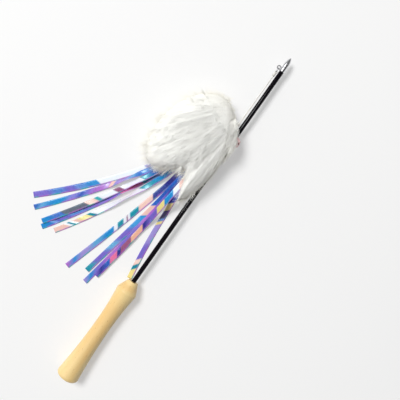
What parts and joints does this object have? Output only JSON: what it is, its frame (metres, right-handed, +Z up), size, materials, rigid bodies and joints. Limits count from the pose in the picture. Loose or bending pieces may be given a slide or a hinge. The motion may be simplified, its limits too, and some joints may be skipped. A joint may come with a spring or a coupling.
{
  "type": "cat teaser wand",
  "caption": "Cat teaser wand with a turned wooden handle, slim black rod, metal tip and a corded tassel of white plumes, iridescent film ribbons and a jingle bell, lying at rest",
  "frame": {"origin": "centre of the handle's flat butt face, on the wand's axis", "axes": "+X along the wand from the butt to the tip, +Z up from the surface that it lies on, +Y to the side that the tassel lies on"},
  "size_m": [0.4049, 0.1542, 0.042],
  "materials": {
    "pale_wood": "turned pale wood with a thin satin lacquer",
    "black_rod": "glossy black fibreglass rod",
    "bright_tip": "bright plated metal cap",
    "ring_steel": "plated steel wire",
    "white_cord": "white braided cord",
    "binding_thread": "white thread wound in turns",
    "pink_enamel": "pale pink gloss enamel on thin metal",
    "white_down": "soft white down",
    "iridescent_film": "thin glossy film with shifting violet, blue, teal and pink bands"
  },
  "bodies": {
    "wand": {"handle": "pale_wood", "rod": "black_rod", "tip_ferrule": "bright_tip"},
    "tip_ring": {"tip_ring": "ring_steel"},
    "tassel": {"tip_knot": "white_cord", "cord": "white_cord", "head_knot": "white_cord", "head_ring": "ring_steel", "core_eye": "ring_steel", "core": "binding_thread", "plume_01": "white_down", "plume_02": "white_down", "plume_03": "white_down", "plume_04": "white_down", "plume_05": "white_down", "plume_06": "white_down", "plume_07": "white_down", "plume_08": "white_down", "plume_09": "white_down", "plume_10": "white_down", "plume_11": "white_down", "plume_12": "white_down", "plume_13": "white_down", "plume_14": "white_down", "ribbon_1": "iridescent_film", "ribbon_2": "iridescent_film", "ribbon_3": "iridescent_film", "ribbon_4": "iridescent_film", "ribbon_5": "iridescent_film", "ribbon_6": "iridescent_film", "ribbon_7": "iridescent_film", "ribbon_8": "iridescent_film", "ribbon_9": "iridescent_film", "ribbon_10": "iridescent_film"},
    "bell": {"bell_cap": "pink_enamel", "bell_base": "pink_enamel", "bell_eye": "ring_steel"},
    "pellet": {"bell_pellet": "ring_steel"}
  },
  "joints": [
    {"name": "tassel_swing", "type": "hinge", "parent": "wand", "child": "tip_ring", "pos_m": [0.3903, 0.0048, 0], "axis": [0, 0, -1], "range_deg": [0, 180]},
    {"name": "tassel_lift", "type": "hinge", "parent": "tip_ring", "child": "tassel", "pos_m": [0.387, 0.0048, 0], "axis": [0, 1, 0], "range_deg": [0, 90]},
    {"name": "bell_swing", "type": "hinge", "parent": "tassel", "child": "bell", "pos_m": [0.3085, 0.0048, 0.00841], "axis": [0.1066, 0, 0.9943], "range_deg": [0, 80]},
    {"name": "pellet_rattle", "type": "slide", "parent": "bell", "child": "pellet", "axis": [0, 0, 1], "range_m": [0, 0.0074]}
  ]
}
